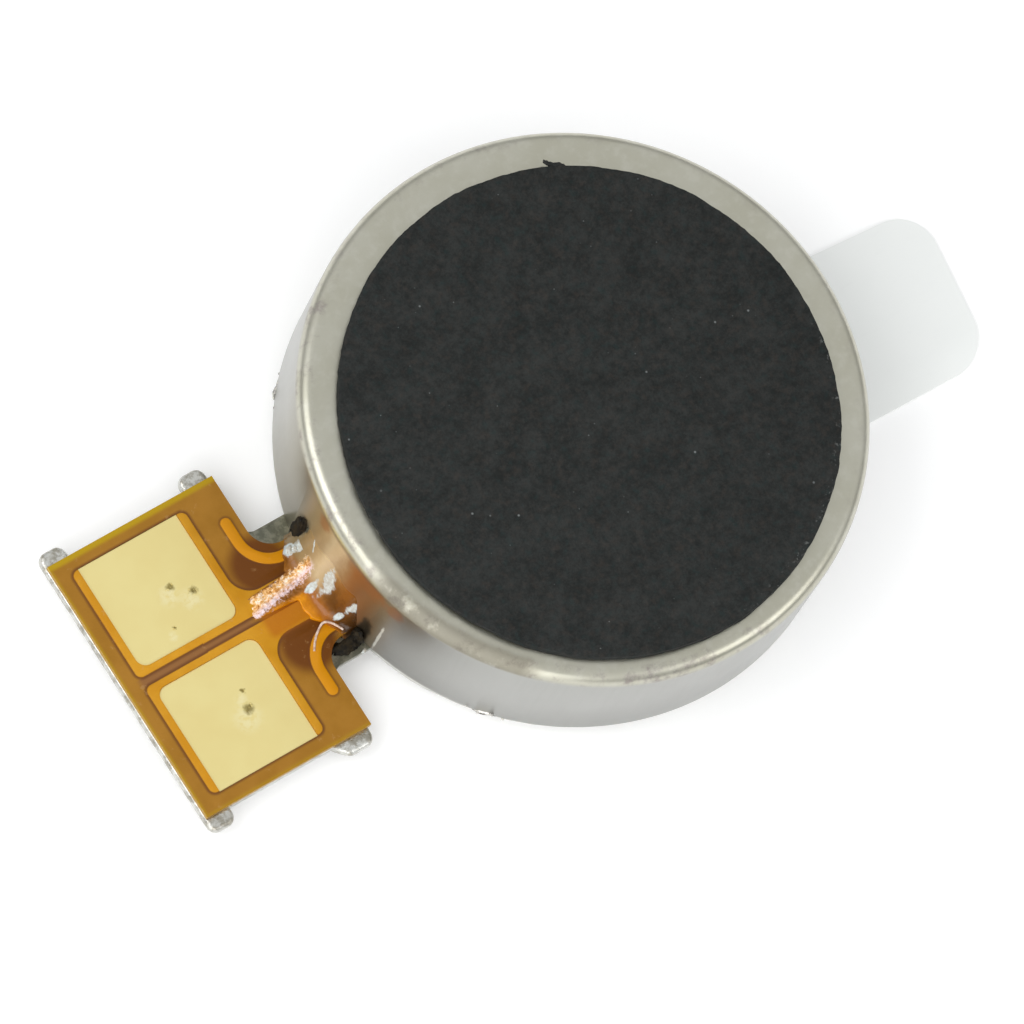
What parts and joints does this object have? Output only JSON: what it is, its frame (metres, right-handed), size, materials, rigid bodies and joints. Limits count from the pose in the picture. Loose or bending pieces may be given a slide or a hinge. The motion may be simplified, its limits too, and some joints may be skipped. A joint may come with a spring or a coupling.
{
  "type": "vibration coin motor",
  "caption": "Flat round vibration motor with a steel-backed contact tail, a foam pad on top and a peel-off adhesive pad underneath.",
  "frame": {"origin": "on the motor's axis, level with the underside of the release liner", "axes": "+Z along the motor's axis towards the foam pad, +X towards the liner's pull tab, -X towards the contact tail"},
  "size_m": [0.0172, 0.01, 0.0031],
  "materials": {
    "nickel_plated_steel": "satin nickel plate over drawn steel",
    "bracket_steel": "bright stamped stainless steel",
    "weld_metal": "remelted steel with a dull bloom",
    "shaft_steel": "ground and polished",
    "detent_steel": "cold-rolled sheet",
    "magnet_nickel": "nickel-plated sintered magnet",
    "polyimide": "amber film",
    "coverlay": "amber cover film with adhesive",
    "copper_foil": "rolled annealed foil",
    "gold_plate": "immersion gold, matt",
    "brush_alloy": "precious-metal-clad spring alloy",
    "solder": "reflowed solder",
    "washer_film": "polyester film",
    "seal_resin": "clear amber adhesive",
    "foam": "fine-cell foam skin",
    "foam_film": "adhesive film",
    "adhesive_tape": "double-sided acrylic foam tape",
    "liner_film": "translucent silicone-coated film",
    "bearing_metal": "oil-filled sintered bronze",
    "rotor_laminate": "glass-epoxy laminate",
    "commutator_gold": "hard gold over copper",
    "magnet_wire": "enamelled winding wire",
    "heavy_alloy": "sintered tungsten alloy",
    "mould_resin": "moulded engineering resin"
  },
  "bodies": {
    "stator": {"case": "nickel_plated_steel", "bracket": "bracket_steel", "weld_spots": "weld_metal", "seal_resin": "seal_resin", "adhesive_pad": "adhesive_tape", "foam_adhesive": "foam_film", "foam_pad": "foam", "flex_base": "polyimide", "flex_trace_positive": "copper_foil", "flex_trace_negative": "copper_foil", "flex_tear_guards": "copper_foil", "flex_coverlay": "coverlay", "contact_pad_positive": "gold_plate", "contact_pad_negative": "gold_plate", "shaft": "shaft_steel", "detent_plate": "detent_steel", "magnet": "magnet_nickel", "brush_positive": "brush_alloy", "brush_negative": "brush_alloy", "brush_solder_joints": "solder", "washer_lower": "washer_film"},
    "rotor": {"washer_upper": "washer_film", "bearing": "bearing_metal", "rotor_board": "rotor_laminate", "commutator": "commutator_gold", "coil_left": "magnet_wire", "coil_right": "magnet_wire", "coil_solder_joints": "solder", "counterweight": "heavy_alloy", "rotor_mould": "mould_resin"},
    "liner": {"release_liner": "liner_film"}
  },
  "joints": [
    {"name": "rotor_spin", "type": "hinge", "parent": "stator", "child": "rotor", "pos_m": [0, 0, 0.0019], "axis": [0, 0, 1], "continuous": true},
    {"name": "liner_pull", "type": "slide", "parent": "stator", "child": "liner", "axis": [1, 0, 0], "range_m": [0, 0.012]}
  ]
}
